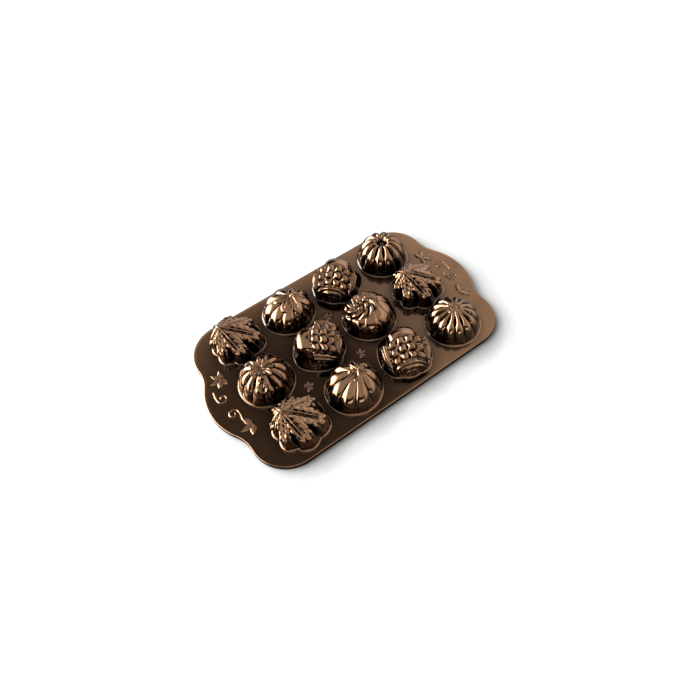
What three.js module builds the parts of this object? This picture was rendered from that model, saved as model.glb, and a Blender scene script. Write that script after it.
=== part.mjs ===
// A cast aluminium pan for twelve small harvest cakes, lying with its cups upward on the edge of its rim.
// Millimetres, +Z up, +X along the pan. The origin is the middle of the footprint, on the table.
// The real pan is one casting. Its features are separate solids here, each seated face to face on the deck.
import * as THREE from "three";

// Sizes that can be set by themselves
const cupRadius = 35.5; // outside of a cup's wall where it leaves the deck
const cupHeight = 37; // highest point of a cup above the deck
const cupWall = 3;
const footFillet = 2.5; // hollow rounding between a cup's wall and the deck
const rowGap = 1; // between the feet of two cups across the pan
const columnGap = 6; // between the feet of two cups along the pan
const edgeBand = 2; // flat deck between the outer feet and the rim's rounding
const handleLand = 43; // deck at the middle of each end, past the outer feet
const cornerLand = 25; // deck past the outer feet at the corner lobes
const cornerLobeRadius = 48.5;
const handleLobeRadius = 83;
const neckRadius = 50; // hollow between a corner lobe and the handle lobe
const deckTop = 7; // above the table
const deckThickness = 3;
const rimRound = 5; // rounded edge from the deck down to the rim's side
const rimWall = 3.5;
const reliefHeight = 1.4; // leaves and vines cast on the deck
const sprayRadius = 15; // leaf sprays on the handles
const sprayInset = 32; // from the end of the pan to the middle of a spray
const sprayAside = 41; // from the pan's middle line to the middle of a spray
const leafRadius = 10; // single leaves between the cups
const vineWidth = 2.4;
const vineRadius = 7; // of the curl at a vine's end
const vineInset = 24; // from the end of the pan to the middle of a vine's curl

// Shares of a motif's own size
const ribRoundnessShare = 0.7; // below 1 the ribs are broad and the grooves narrow
const acornCornerShare = 0.06; // how far an acorn cup falls short of its round corners on its four sides
const fringeNotchShare = 0.05; // notches in the acorn cup's leafy edge
const capFrontShare = 0.24; // where the nut leaves the cap, along the acorn
const capBackShare = -0.36; // where the cap gives way to the leaves
const capStepShare = 0.08; // length of the step at each end of the cap
const capBendShare = 0.45; // how much both ends of the cap curve round the nut
const capRiseShare = 0.05; // cap over nut
const fringeDropShare = 0.08; // leaves under cap
const scaleShare = 0.06; // height of the knobs on the cap
const scalePitchShare = 0.21; // from one knob to the next
const leafStemShare = -0.46; // where the veins meet, along the leaf
const leafNotchShare = 0.14; // notches between the lobes at a leaf cup's foot
const leafCutShare = 0.16; // how much deeper the notches are at the leaf's own edge
const leafPuffShare = 0.05; // blade over the grooves beside a vein
const sprayNotchShare = 0.6; // notches between the lobes of a leaf on the deck

// A leaf's lobes: which way each tip points, in shares of a turn, and how far it reaches
const lobeTurnShares = [0, 0.167, 0.311, 0.436, 0.564, 0.689, 0.833];
const lobeReachShares = [1.06, 1, 0.98, 0.93, 0.93, 0.98, 1];

// Counts
const columns = 4;
const rows = 3;
const pumpkinRibs = 12;
const squashRibs = 14;
const gourdRibs = 9;
const fringeLeaves = 12;
const sprayLobes = 5;
const tripleLobes = 3;
const stepsPerRib = 3;
const stepsPerLobe = 4;
const stepsPerFringeLeaf = 3;
const cornerSteps = 10;
const neckSteps = 4;
const handleSteps = 5;
const rimRoundSteps = 3;
const filletSteps = 2;
const stepsPerSprayLobe = 4;
const vineSteps = 12;

// Places that follow from the sizes
const fullTurn = 2 * Math.PI;
const up = new THREE.Vector3(0, 0, 1);
const footRadius = cupRadius + footFillet;
const rowPitch = 2 * footRadius + rowGap;
const columnPitch = 2 * footRadius + columnGap;
const outerColumn = ((columns - 1) / 2) * columnPitch;
const outerRow = ((rows - 1) / 2) * rowPitch;
const panHalfWidth = outerRow + footRadius + edgeBand + rimRound;
const panHalfLength = outerColumn + footRadius + handleLand;
const cornerLobeX = outerColumn + footRadius + cornerLand - cornerLobeRadius;
const cornerLobeY = panHalfWidth - cornerLobeRadius;
const handleLobeX = panHalfLength - handleLobeRadius;

// Middle of the circle that touches the corner lobe and the handle lobe from outside.
function neckCentre() {
  const fromCorner = cornerLobeRadius + neckRadius;
  const fromHandle = handleLobeRadius + neckRadius;
  const between = new THREE.Vector2(handleLobeX - cornerLobeX, -cornerLobeY);
  const distance = between.length();
  const alongLine = (fromCorner ** 2 - fromHandle ** 2 + distance ** 2) / (2 * distance);
  const aside = Math.sqrt(fromCorner ** 2 - alongLine ** 2);
  between.normalize();
  return new THREE.Vector2(
    cornerLobeX + alongLine * between.x - aside * between.y,
    cornerLobeY + alongLine * between.y + aside * between.x,
  );
}

function arcPoints(centre, radius, fromAngle, toAngle, steps) {
  return Array.from({ length: steps }, (_, step) => {
    const angle = fromAngle + ((toAngle - fromAngle) * step) / steps;
    return new THREE.Vector2(centre.x + radius * Math.cos(angle), centre.y + radius * Math.sin(angle));
  });
}

// The pan's lobed outline drawn in by an inset, anticlockwise from the middle of the right end.
// Every inset gives the same number of points, so two outlines can be joined point to point.
function panOutline(inset) {
  const corner = new THREE.Vector2(cornerLobeX, cornerLobeY);
  const handle = new THREE.Vector2(handleLobeX, 0);
  const neck = neckCentre();
  const toHandle = neck.clone().sub(handle).angle();
  const toCorner = corner.clone().sub(neck).angle();
  const cornerStart = Math.atan2(neck.y - corner.y, neck.x - corner.x);
  const quarter = [
    ...arcPoints(handle, handleLobeRadius - inset, 0, toHandle, handleSteps),
    ...arcPoints(neck, neckRadius + inset, toHandle + fullTurn / 2, toCorner, neckSteps),
    ...arcPoints(corner, cornerLobeRadius - inset, cornerStart, fullTurn / 4, cornerSteps),
    new THREE.Vector2(cornerLobeX, panHalfWidth - inset),
  ];
  const mirrored = (signX, signY) =>
    quarter.map((point) => new THREE.Vector2(point.x * signX, point.y * signY));
  return [
    ...quarter,
    ...mirrored(-1, 1).reverse(),
    ...mirrored(-1, -1).slice(1),
    ...mirrored(1, -1).reverse().slice(0, -1),
  ];
}

// Joins rings of points into one closed surface. Neighbouring rings have as many points as each other,
// or one of them is a single point. The last ring joins the first where the surface runs round a hole.
function closedSkin(rings, runsRound) {
  const positions = rings.flat().flatMap((point) => [point.x, point.y, point.z]);
  const starts = rings.map((_, ring) => rings.slice(0, ring).flat().length);
  const joins = runsRound ? rings.length : rings.length - 1;
  const faces = [];
  for (let ring = 0; ring < joins; ring++) {
    const next = (ring + 1) % rings.length;
    const upperCount = rings[ring].length;
    const lowerCount = rings[next].length;
    for (let step = 0; step < Math.max(upperCount, lowerCount); step++) {
      const upper = starts[ring] + (step % upperCount);
      const upperNext = starts[ring] + ((step + 1) % upperCount);
      const lower = starts[next] + (step % lowerCount);
      const lowerNext = starts[next] + ((step + 1) % lowerCount);
      if (lowerCount > 1) faces.push(upper, lower, lowerNext);
      if (upperCount > 1) faces.push(upper, lowerNext, upperNext);
    }
  }
  const skin = new THREE.BufferGeometry();
  skin.setAttribute("position", new THREE.Float32BufferAttribute(positions, 3));
  skin.setIndex(faces);
  skin.computeVertexNormals();
  return skin;
}

// Rim: rounded edge of the deck, side, flat ring that it rests on, and inner side, as one band.
function rimSkin() {
  const sideTop = deckTop - rimRound;
  const rounding = Array.from({ length: rimRoundSteps }, (_, step) => {
    const angle = ((step + 1) / rimRoundSteps) * (fullTurn / 4);
    return [rimRound * (1 - Math.sin(angle)), sideTop + rimRound * Math.cos(angle)];
  });
  const section = [
    [rimRound, deckTop],
    ...rounding,
    [0, 0],
    [rimWall, 0],
    [rimWall, sideTop],
    [rimRound, deckTop - deckThickness],
  ];
  const rings = section.map(([inset, height]) =>
    panOutline(inset).map((point) => new THREE.Vector3(point.x, point.y, height)),
  );
  return closedSkin(rings, true);
}

// 1 on the crest of each rib or lobe, and 0 in the groove between two.
function crest(turns, ribs, roundnessShare) {
  return Math.abs(Math.sin((fullTurn / 2) * turns * ribs)) ** roundnessShare;
}

// Profiles of a cup, from its wall to its top: how far out a ring lies, how high, how strong its relief is.
const dimpledProfileShares = [
  [0.985, 0.27, 0.8],
  [0.93, 0.46, 1],
  [0.82, 0.66, 1],
  [0.65, 0.85, 1],
  [0.44, 0.97, 1],
  [0.27, 0.97, 0.8],
  [0.12, 0.86, 0.4],
];
const roundProfileShares = [
  [0.985, 0.27, 0.8],
  [0.93, 0.46, 1],
  [0.82, 0.645, 1],
  [0.65, 0.81, 1],
  [0.44, 0.92, 1],
  [0.2, 0.98, 0.7],
];
const acornProfileShares = [
  [0.98, 0.29, 0.8],
  [0.92, 0.48, 1],
  [0.83, 0.63, 1],
  [0.71, 0.76, 1],
  [0.57, 0.85, 1],
  [0.41, 0.925, 1],
  [0.25, 0.975, 1],
  [0.1, 0.995, 1],
];
const leafProfileShares = [
  [0.965, 0.3, 0.5],
  [0.915, 0.56, 1],
  [0.87, 0.63, 1],
  [0.68, 0.74, 1],
  [0.43, 0.855, 1],
  [0.18, 0.955, 0.8],
];

// A fruit whose ribs meet at a stem, which may stand off the middle. Twist turns each rib as it climbs.
function ribbedFruit({ name, ribs, grooveShare, stemShare, poleShare, twistShare, profileShares }) {
  return {
    name,
    segments: ribs * stepsPerRib,
    profileShares,
    poleShare,
    poleHeightShare: profileShares.at(-1)[1] + stemShare,
    edgeShare: () => 1,
    angle: (turns, outShare) => turns * fullTurn + twistShare * (1 - outShare),
    form(turns, outShare, reliefShare) {
      const groove = grooveShare * reliefShare * (1 - crest(turns, ribs, ribRoundnessShare));
      return { spread: 1 - groove, lift: 1 - groove * (1 - outShare) };
    },
  };
}

const pumpkin = ribbedFruit({
  name: "pumpkin",
  ribs: pumpkinRibs,
  grooveShare: 0.12,
  stemShare: -0.05,
  poleShare: 0,
  twistShare: 0,
  profileShares: dimpledProfileShares,
});
const squash = ribbedFruit({
  name: "squash",
  ribs: squashRibs,
  grooveShare: 0.1,
  stemShare: 0,
  poleShare: 0,
  twistShare: 0,
  profileShares: roundProfileShares,
});
const gourd = ribbedFruit({
  name: "gourd",
  ribs: gourdRibs,
  grooveShare: 0.11,
  stemShare: 0.02,
  poleShare: 0.25,
  twistShare: 0,
  profileShares: roundProfileShares,
});
// The gourd under the heaped petals, whose ribs are almost smooth
const smoothGourd = ribbedFruit({
  name: "gourd",
  ribs: gourdRibs,
  grooveShare: 0.02,
  stemShare: 0.01,
  poleShare: 0,
  twistShare: 0,
  profileShares: roundProfileShares,
});

// An acorn lying on its side: smooth nut, knobbly cap across the middle, and a fringe of small leaves.
const acorn = {
  name: "acorn",
  segments: fringeLeaves * stepsPerFringeLeaf,
  profileShares: acornProfileShares,
  poleShare: 0,
  poleHeightShare: 0.98,
  edgeShare(turns) {
    const fringe = Math.max(0, -Math.cos(turns * fullTurn));
    const side = Math.cos(2 * turns * fullTurn) ** 2;
    return 1 - acornCornerShare * side - fringeNotchShare * fringe * (1 - crest(turns, fringeLeaves, 1));
  },
  angle: (turns) => turns * fullTurn,
  form(turns, outShare, reliefShare) {
    const climb = Math.asin(outShare) / (fullTurn / 4);
    const aside = climb * Math.sin(turns * fullTurn);
    const place = climb * Math.cos(turns * fullTurn) + capBendShare * aside ** 2;
    const nut = THREE.MathUtils.smoothstep(place, capFrontShare, capFrontShare + capStepShare);
    const fringe = 1 - THREE.MathUtils.smoothstep(place, capBackShare - capStepShare, capBackShare);
    const cap = 1 - nut - fringe;
    const along = crest(place, 1 / scalePitchShare, ribRoundnessShare);
    const across = crest(aside, 1 / scalePitchShare, ribRoundnessShare);
    const knob = scaleShare * reliefShare * (along * across - 1) * cap;
    return {
      spread: 1 - capRiseShare * nut - fringeDropShare * fringe * (1 - crest(turns, fringeLeaves, 1)) + knob,
      lift: 1 - capRiseShare * nut - fringeDropShare * fringe + knob,
    };
  },
};

// Where a value lies between two others, as a share.
function between(shares, position) {
  const lower = Math.floor(position);
  return THREE.MathUtils.lerp(shares[lower], shares[lower + 1], position - lower);
}

// A pointed leaf over a steep wall. Its veins run from the stem to the tip of each lobe.
const leafLobes = lobeTurnShares.length;
const leaf = {
  name: "leaf",
  segments: leafLobes * stepsPerLobe,
  profileShares: leafProfileShares,
  poleShare: leafStemShare,
  poleHeightShare: 1,
  edgeShare(turns) {
    const reach = between([...lobeReachShares, lobeReachShares[0]], turns * leafLobes);
    return reach * (1 - leafNotchShare * (1 - this.tip(turns)));
  },
  // 1 along a vein, and 0 half way to the next
  tip: (turns) => Math.abs(Math.cos((fullTurn / 2) * turns * leafLobes)),
  angle: (turns) => between([...lobeTurnShares, 1], turns * leafLobes) * fullTurn,
  form(turns, outShare, reliefShare) {
    const tip = this.tip(turns);
    return {
      spread: 1 - leafCutShare * reliefShare * outShare * (1 - tip),
      lift: 1 - leafPuffShare * reliefShare * outShare * Math.cos(fullTurn * tip),
    };
  },
};

// One ring of a cup's skin, drawn in to a share of a radius and lifted to a share of a height.
function cupRing(motif, radius, height, outShare, heightShare, reliefShare) {
  return Array.from({ length: motif.segments }, (_, step) => {
    const turns = step / motif.segments;
    const form = motif.form(turns, outShare, reliefShare);
    const angle = motif.angle(turns, outShare);
    const edge = new THREE.Vector2(Math.cos(angle), Math.sin(angle)).multiplyScalar(motif.edgeShare(turns));
    const reach = outShare * form.spread;
    return new THREE.Vector3(
      radius * (motif.poleShare + (edge.x - motif.poleShare) * reach),
      radius * edge.y * reach,
      height * heightShare * form.lift,
    );
  });
}

function cupPole(motif, radius, height) {
  return [new THREE.Vector3(radius * motif.poleShare, 0, height * motif.poleHeightShare)];
}

// A cup's mouth where its cavity opens through the deck.
function mouthRing(motif) {
  return cupRing(motif, cupRadius - cupWall, 0, 1, 0, 0);
}

// A cup as a shell of even wall: outside from the top to the foot, seat on the deck, and cavity.
function cupSkin(motif) {
  const innerRadius = cupRadius - cupWall;
  const innerHeight = cupHeight - cupWall;
  const outside = motif.profileShares.map(([outShare, heightShare, reliefShare]) =>
    cupRing(motif, cupRadius, cupHeight, outShare, heightShare, reliefShare),
  );
  const cavity = motif.profileShares
    .filter((_, ring) => ring % 2 === 0)
    .map(([outShare, heightShare, reliefShare]) =>
      cupRing(motif, innerRadius, innerHeight, outShare, heightShare, reliefShare),
    );
  const fillet = Array.from({ length: filletSteps + 1 }, (_, step) => {
    const angle = (step / filletSteps) * (fullTurn / 4);
    const radius = cupRadius + footFillet * (1 - Math.sin(angle));
    const height = footFillet * (1 - Math.cos(angle));
    return cupRing(motif, radius, height, 1, 1, 0).map((point) => point.setZ(height));
  });
  return closedSkin([
    cupPole(motif, cupRadius, cupHeight),
    ...outside.toReversed(),
    ...fillet.toReversed(),
    mouthRing(motif),
    ...cavity,
    cupPole(motif, innerRadius, innerHeight),
  ]);
}

// Which motif stands where, seen from above, with the way it faces in turns.
const cups = [
  { motif: leaf, row: "back", column: 1, facing: -0.11 },
  { motif: gourd, row: "back", column: 2, facing: -0.05 },
  { motif: acorn, row: "back", column: 3, facing: 0.12 },
  { motif: pumpkin, row: "back", column: 4, facing: 0 },
  { motif: pumpkin, row: "middle", column: 1, facing: 0 },
  { motif: acorn, row: "middle", column: 2, facing: 0.4 },
  { motif: smoothGourd, row: "middle", column: 3, facing: 0.4 },
  { motif: leaf, row: "middle", column: 4, facing: -0.11 },
  { motif: leaf, row: "front", column: 1, facing: -0.11 },
  { motif: gourd, row: "front", column: 2, facing: 0 },
  { motif: acorn, row: "front", column: 3, facing: 0.19 },
  { motif: squash, row: "front", column: 4, facing: 0 },
];

function cupPlace({ row, column }) {
  const rowIndex = ["front", "middle", "back"].indexOf(row);
  return new THREE.Vector3(
    (column - 1) * columnPitch - outerColumn,
    rowIndex * rowPitch - outerRow,
    deckTop,
  );
}

// Deck: the lobed plate inside the rim, with a mouth under each cup.
function deckSkin() {
  const plate = new THREE.Shape(panOutline(rimRound));
  for (const cup of cups) {
    const place = cupPlace(cup);
    const mouth = mouthRing(cup.motif).map((point) => {
      const turned = point.applyAxisAngle(up, cup.facing * fullTurn);
      return new THREE.Vector2(turned.x + place.x, turned.y + place.y);
    });
    plate.holes.push(new THREE.Path(mouth));
  }
  const deck = new THREE.ExtrudeGeometry(plate, { depth: deckThickness, bevelEnabled: false });
  return deck.translate(0, 0, deckTop - deckThickness);
}

// A leaf cast on the deck: a low lobed dome, flat underneath.
function leafRelief(radius, lobes) {
  const steps = lobes * stepsPerSprayLobe;
  const outline = Array.from({ length: steps }, (_, step) => {
    const turns = step / steps;
    const reach = radius * (1 - sprayNotchShare * (1 - crest(turns, lobes, ribRoundnessShare)));
    return new THREE.Vector3(reach * Math.cos(turns * fullTurn), reach * Math.sin(turns * fullTurn));
  });
  const shoulder = outline.map((point) =>
    point.clone().multiplyScalar(ribRoundnessShare).setZ(reliefHeight * ribRoundnessShare),
  );
  return closedSkin([[new THREE.Vector3(0, 0, reliefHeight)], shoulder, outline, [new THREE.Vector3()]]);
}

// A vine cast on the deck: a straight stem that runs into a curl, as a ridge that tapers to both ends.
function vineRelief() {
  const curl = new THREE.CurvePath();
  curl.add(new THREE.LineCurve3(new THREE.Vector3(vineRadius, -2 * vineRadius), new THREE.Vector3(vineRadius, 0)));
  const spiral = Array.from({ length: vineSteps }, (_, step) => {
    const share = step / (vineSteps - 1);
    const reach = vineRadius * (1 - ribRoundnessShare * share);
    return new THREE.Vector3(reach * Math.cos(share * fullTurn), reach * Math.sin(share * fullTurn));
  });
  curl.add(new THREE.CatmullRomCurve3(spiral));
  const middle = curl.getSpacedPoints(vineSteps);
  const rings = middle.map((point, step) => {
    if (step === 0 || step === vineSteps) return [point];
    const aside = middle[step + 1].clone().sub(middle[step - 1]).cross(up).setLength(vineWidth / 2);
    const crown = aside.clone().multiplyScalar(ribRoundnessShare);
    const top = up.clone().multiplyScalar(reliefHeight);
    return [
      point.clone().add(aside),
      point.clone().add(crown).add(top),
      point.clone().sub(crown).add(top),
      point.clone().sub(aside),
    ];
  });
  return closedSkin(rings);
}

const bronzeCoat = new THREE.MeshStandardMaterial({ color: 0x6b4f38, roughness: 0.3, metalness: 0.8 });

function casting(name, skin) {
  const mesh = new THREE.Mesh(skin, bronzeCoat.clone());
  mesh.name = name;
  return mesh;
}

function seated(name, skin, x, y, turns) {
  const relief = casting(name, skin);
  relief.position.set(x, y, deckTop);
  relief.rotation.z = turns * fullTurn;
  return relief;
}

function cupMesh(cup) {
  const mesh = casting(`${cup.motif.name}_cup_${cup.row}_${cup.column}`, cupSkin(cup.motif));
  mesh.position.copy(cupPlace(cup));
  mesh.rotation.z = cup.facing * fullTurn;
  return mesh;
}

// The sprays and vines of one handle. Side is -1 at the left end and 1 at the right end.
function handleReliefs(name, side) {
  const sprayX = side * (panHalfLength - sprayInset);
  const vineX = side * (panHalfLength - vineInset);
  const facing = side < 0 ? 1 / 2 : 0;
  const group = new THREE.Group();
  group.add(seated(`leaf_spray_${name}_back`, leafRelief(sprayRadius, tripleLobes), sprayX, sprayAside, facing));
  group.add(seated(`leaf_spray_${name}_front`, leafRelief(sprayRadius, sprayLobes), sprayX, -sprayAside, facing));
  group.add(seated(`vine_${name}_back`, vineRelief(), vineX, 2 * vineRadius, facing));
  group.add(seated(`vine_${name}_front`, vineRelief(), vineX, -2 * vineRadius, facing + 1 / 2));
  return group;
}

// The leaves cast on the deck where four cups leave room.
function middleReliefs() {
  const group = new THREE.Group();
  const skin = () => leafRelief(leafRadius, sprayLobes);
  group.add(seated("leaf_relief_left", skin(), -columnPitch, -rowPitch / 2, 0));
  group.add(seated("leaf_relief_front", skin(), 0, -rowPitch / 2, 0));
  group.add(seated("leaf_relief_back", skin(), 0, rowPitch / 2, 0));
  return group;
}

const pan = new THREE.Group();
pan.add(casting("deck_plate", deckSkin()));
pan.add(casting("rim_lip", rimSkin()));
cups.forEach((cup) => pan.add(cupMesh(cup)));
pan.add(handleReliefs("left", -1));
pan.add(handleReliefs("right", 1));
pan.add(middleReliefs());

export default pan;
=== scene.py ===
"""A cast cakelet pan with twelve motif cups, lying cups up on a table that shows white to the camera."""
import math

import bpy
import numpy as np
from mathutils import Matrix, Vector
from mathutils.geometry import delaunay_2d_cdt


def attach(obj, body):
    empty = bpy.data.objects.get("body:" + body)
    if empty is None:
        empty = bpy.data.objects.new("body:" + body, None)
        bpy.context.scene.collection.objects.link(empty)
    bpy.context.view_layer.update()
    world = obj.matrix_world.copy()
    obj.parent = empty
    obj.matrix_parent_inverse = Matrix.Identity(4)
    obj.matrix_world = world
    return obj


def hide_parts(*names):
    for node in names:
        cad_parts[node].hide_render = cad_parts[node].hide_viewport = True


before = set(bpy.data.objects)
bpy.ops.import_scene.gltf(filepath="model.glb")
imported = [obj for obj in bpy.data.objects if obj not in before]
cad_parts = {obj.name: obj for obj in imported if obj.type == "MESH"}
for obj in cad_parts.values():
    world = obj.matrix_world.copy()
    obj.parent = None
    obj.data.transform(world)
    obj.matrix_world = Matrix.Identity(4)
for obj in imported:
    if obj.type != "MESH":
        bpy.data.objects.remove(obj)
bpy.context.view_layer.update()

MM = 0.001
TURN = 2 * math.pi

# Sizes of the pan, as in the frame
CUP_RADIUS = 35.5 * MM
CUP_HEIGHT = 37 * MM
CUP_WALL = 3 * MM
FOOT_FILLET = 2.5 * MM
ROW_PITCH = 77 * MM
COLUMN_PITCH = 82 * MM
DECK_TOP = 7 * MM
DECK_THICKNESS = 3 * MM
RIM_ROUND = 5 * MM
RIM_WALL = 3.5 * MM
HALF_WIDTH = 122 * MM
HALF_LENGTH = 204 * MM
CORNER_LOBE_RADIUS = 48.5 * MM
CORNER_LOBE_X = 137.5 * MM
HANDLE_LOBE_RADIUS = 83 * MM
NECK_RADIUS = 50 * MM

# Finer sizes that only the dressed pan has
COLLAR_WALL = 2 * MM          # ring of casting round each mouth, inside the deck's thickness
COLLAR_RADIUS = CUP_RADIUS - CUP_WALL + COLLAR_WALL
COLLAR_GAP = 0.05 * MM        # between a collar and the deck
MOUTH_ROUND = 1.5 * MM        # rounding of a mouth's edge under the deck
RIM_TURN = 1.2 * MM           # tighter rounding of the pan's edge
RIM_EDGE = 0.3 * MM           # break of the edges that the pan rests on
RELIEF_CENTRE = 0.2           # share of a cup's height, on its axis, that its relief stands away from
CAVITY_RELIEF = 0.85          # the cavities show the same relief, a little softer

# Mesh fineness
AROUND = 252
OUTER_RINGS = 84
INNER_RINGS = 36
PROFILE_STEPS = 24
FOOT_STEPS = 7
MOUTH_STEPS = 5
HOLE_STRIDE = 2
HANDLE_STEPS = 40
NECK_STEPS = 28
CORNER_STEPS = 60
SIDE_STEPS = 30
RIM_STEPS = 9
RELIEF_CELL = 0.4 * MM
CREASE_ANGLE = math.radians(40)
KEEP_INSIDE = 1               # what the triangulation gives: triangles inside the outline
MERGE_DISTANCE = 1e-7

# Profiles of the cups, from wall to top: how far out, how high, how strong the relief is
DIMPLED_PROFILE = [(1, 0.05, 0), (0.998, 0.14, 0.4), (0.985, 0.27, 0.8), (0.95, 0.41, 1), (0.885, 0.56, 1),
                   (0.785, 0.71, 1), (0.65, 0.85, 1), (0.5, 0.95, 1), (0.38, 0.99, 1), (0.28, 0.965, 0.9),
                   (0.19, 0.87, 0.6), (0.1, 0.74, 0.3), (0, 0.68, 0)]
COVERED_PROFILE = DIMPLED_PROFILE[:-3] + [(0.19, 0.93, 1), (0.1, 0.9, 1), (0, 0.89, 1)]
ROUND_PROFILE = [(1, 0.05, 0), (0.998, 0.14, 0.4), (0.985, 0.27, 0.8), (0.95, 0.41, 1), (0.885, 0.55, 1),
                 (0.785, 0.69, 1), (0.65, 0.81, 1), (0.48, 0.905, 1), (0.3, 0.965, 1), (0.14, 0.99, 0.9),
                 (0, 1, 0.7)]
ACORN_PROFILE = [(1, 0.05, 0), (0.997, 0.15, 0.5), (0.98, 0.29, 0.9), (0.935, 0.45, 1), (0.86, 0.59, 1),
                 (0.75, 0.72, 1), (0.6, 0.83, 1), (0.43, 0.915, 1), (0.22, 0.98, 1), (0, 1, 1)]
LEAF_PROFILE = [(1, 0.05, 0), (0.99, 0.15, 0.5), (0.975, 0.26, 0.8), (0.957, 0.37, 1), (0.938, 0.46, 1),
                (0.905, 0.53, 1), (0.85, 0.59, 1), (0.76, 0.665, 1), (0.62, 0.755, 1), (0.45, 0.845, 1),
                (0.3, 0.91, 1), (0.14, 0.965, 0.9), (0, 1, 0.6)]

# Ribbed cups. Places, widths and lines on them are shares of a cup's radius, from its pole.
PUMPKIN_RIBS = 12
SQUASH_RIBS = 14
GOURD_RIBS = 9
GROOVE_DEPTH = 3.4 * MM
BROAD_GROOVE_DEPTH = 3.6 * MM
FAINT_GROOVE_DEPTH = 1.5 * MM
DROP_DEPTH = 2.6 * MM
SHALLOW_DROP_DEPTH = 2.2 * MM
ROSETTE_HEIGHT = 2 * MM
ROSETTE_PETALS = 5
LAID_HEIGHT = 2.6 * MM        # of the leaves and stems laid on the gourds
PUMPKIN_LAID_HEIGHT = 3 * MM
GOURD_VINE_HEIGHT = 1.4 * MM
GOURD_POLE = 0.25             # a gourd's ribs meet beside its middle
STEM_WIDTH = 0.09
GOURD_STEM = [(0, 0), (-0.07, 0.11), (-0.22, 0.14)]
LEAFY_GOURD_STEM = [(0, 0), (0.12, 0.08), (0.26, 0.18)]
GOURD_VINE_WIDTH = 0.045
GOURD_VINES = [[(0, 0), (0.17, 0.17), (0.34, 0.18), (0.45, 0.08)],
               [(0, 0), (-0.08, -0.17), (-0.28, -0.22)]]
PUMPKIN_STEM_WIDTH = 0.1
PUMPKIN_STEM = [(0, 0), (0.08, 0.08), (0.28, 0.1)]
VINE_RING_PLACE = (-0.33, -0.58)
VINE_RING_RADIUS = 0.14
VINE_RING_WIDTH = 0.05
VINE_MOUND_RADIUS = 0.24

# Leaves laid on the ribs: where the stem ends, the way the leaf points, and its size
LAID_LEAF_LOBES = 5
LAID_LEAF_SPREAD = math.radians(125)
PUMPKIN_LEAF = ((0.02, 0.02), math.radians(-125), 0.55)
GOURD_LEAF = ((0.02, 0.02), math.radians(60), 0.34)
LEAFY_GOURD_LEAF = ((0.02, 0.05), math.radians(-80), 0.85)

# Petals heaped on one side of the clustered gourd: inner and outer radius, count, and turn in petals
HEAP_MIDDLE = (0.27, 0)
HEAP_RADIUS = 0.66
HEAP_BUD_RADIUS = 0.11
HEAP_RINGS = [(0.1, 0.34, 5, 0), (0.32, HEAP_RADIUS, 9, 0.5)]
PETAL_HEIGHT = 5 * MM
HEAP_SUNK = 3 * MM

# Acorn: the cap lies behind its front along x. Shares of the cup's radius, then heights and depths
CAP_FRONT = 0.17
CAP_LENGTH = 0.72
CAP_HALF_WIDTH = 0.53
CAP_BEND = 0.3
SCALE_PITCH = 0.235
FRINGE_LEAVES = 9
NUT_TIP_PLACE = (0.78, 0)
SCALE_HEIGHT = 5 * MM
CAP_SUNK = 3.4 * MM
BRIM_HEIGHT = 2.4 * MM
NUT_SUNK = 2.4 * MM
NUT_BELLY_HEIGHT = 4.6 * MM
NUT_SHOULDER_SUNK = 4 * MM
NUT_TIP_HEIGHT = 1.4 * MM
FRINGE_SUNK = 4 * MM
FRINGE_HEIGHT = 1.5 * MM

# Leaf: which way each lobe's tip points, in shares of a turn, and how far it reaches
LOBE_TURNS = [0, 0.167, 0.311, 0.436, 0.564, 0.689, 0.833]
LOBE_REACHES = [1.06, 1, 0.98, 0.93, 0.93, 0.98, 1]
LEAF_LOBES = len(LOBE_TURNS)
LEAF_STEM = -0.46             # where the veins meet, along x
LEAF_NOTCH = 0.14             # how deep the foot is drawn in between two lobes
LEAF_CUT = 0.12               # how much deeper the leaf's own edge is cut there
LEAF_TEETH = 0.07
LEAF_VEIN_HEIGHT = 2.4 * MM
LEAF_HOLLOW_DEPTH = 1.6 * MM
LEAF_FEATHER_HEIGHT = 1.1 * MM
LEAF_PUFF_HEIGHT = 2 * MM
LEAF_KNOB_HEIGHT = 2.2 * MM
LEAF_NOTCH_DEPTH = 4.2 * MM

# Reliefs on the deck
RELIEF_HEIGHT = 1.3 * MM
RELIEF_EDGE = 0.02            # share of its height at which a relief ends
SEATING = 0.05 * MM           # how far a relief's flat underside sits in the deck
SPRAY_SIZE = 15 * MM
SPRAY_X = 172 * MM
SPRAY_Y = 41 * MM
SMALL_SPRAY_SIZE = 10 * MM
SPRAY_REACH = 1.25            # longest leaf of a spray, as a share of its size, as the next three are
SPRAY_SHORTENING = 0.2        # of each leaf farther from the middle of the fan
SPRAY_STEM = 0.35
SPRAY_LEAF_WIDTH = 0.5
SPRAY_OF_FIVE = [math.radians(angle) for angle in (-100, -50, 0, 50, 100)]
SPRAY_OF_THREE = [math.radians(angle) for angle in (-60, 0, 60)]
VINE_X = 180 * MM
VINE_RADIUS = 7 * MM
VINE_WIDTH = 2.4 * MM
VINE_REACH = 2.3              # half the side of a vine's footprint, as a share of its radius
VINE_TIGHTENING = 0.7         # how much of its radius a curl loses in its turn

# Bronze coat
COAT_DARK = (0.13, 0.067, 0.033)
COAT_LIGHT = (0.165, 0.088, 0.045)
COAT_ROUGHNESS = (0.1, 0.15)
NOISE_RANGE = (0.3, 0.7)      # where most values of a noise lie
CLOUD_SCALE = 35
GRAIN_SCALE = 160
PEEL_SCALE = 900
PEEL_STRENGTH = 0.015
PEEL_HEIGHT = 0.2 * MM
CLEAR_COAT = 0.3
CLEAR_COAT_ROUGHNESS = 0.06
# Painted shade: where the surface is shut in, between and low on the cups, an ambient occlusion mask pulls
# the coat's colour toward this near black.
PAINTED_SHADE_COLOUR = (0.01, 0.006, 0.005)   # between and low on the cups, as dark as the photo is there
PAINTED_SHADE_REACH = 40 * MM
PAINTED_SHADE_EDGE = (0.42, 0.95)    # share of open air at which the coat is darkest, and clear

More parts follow.
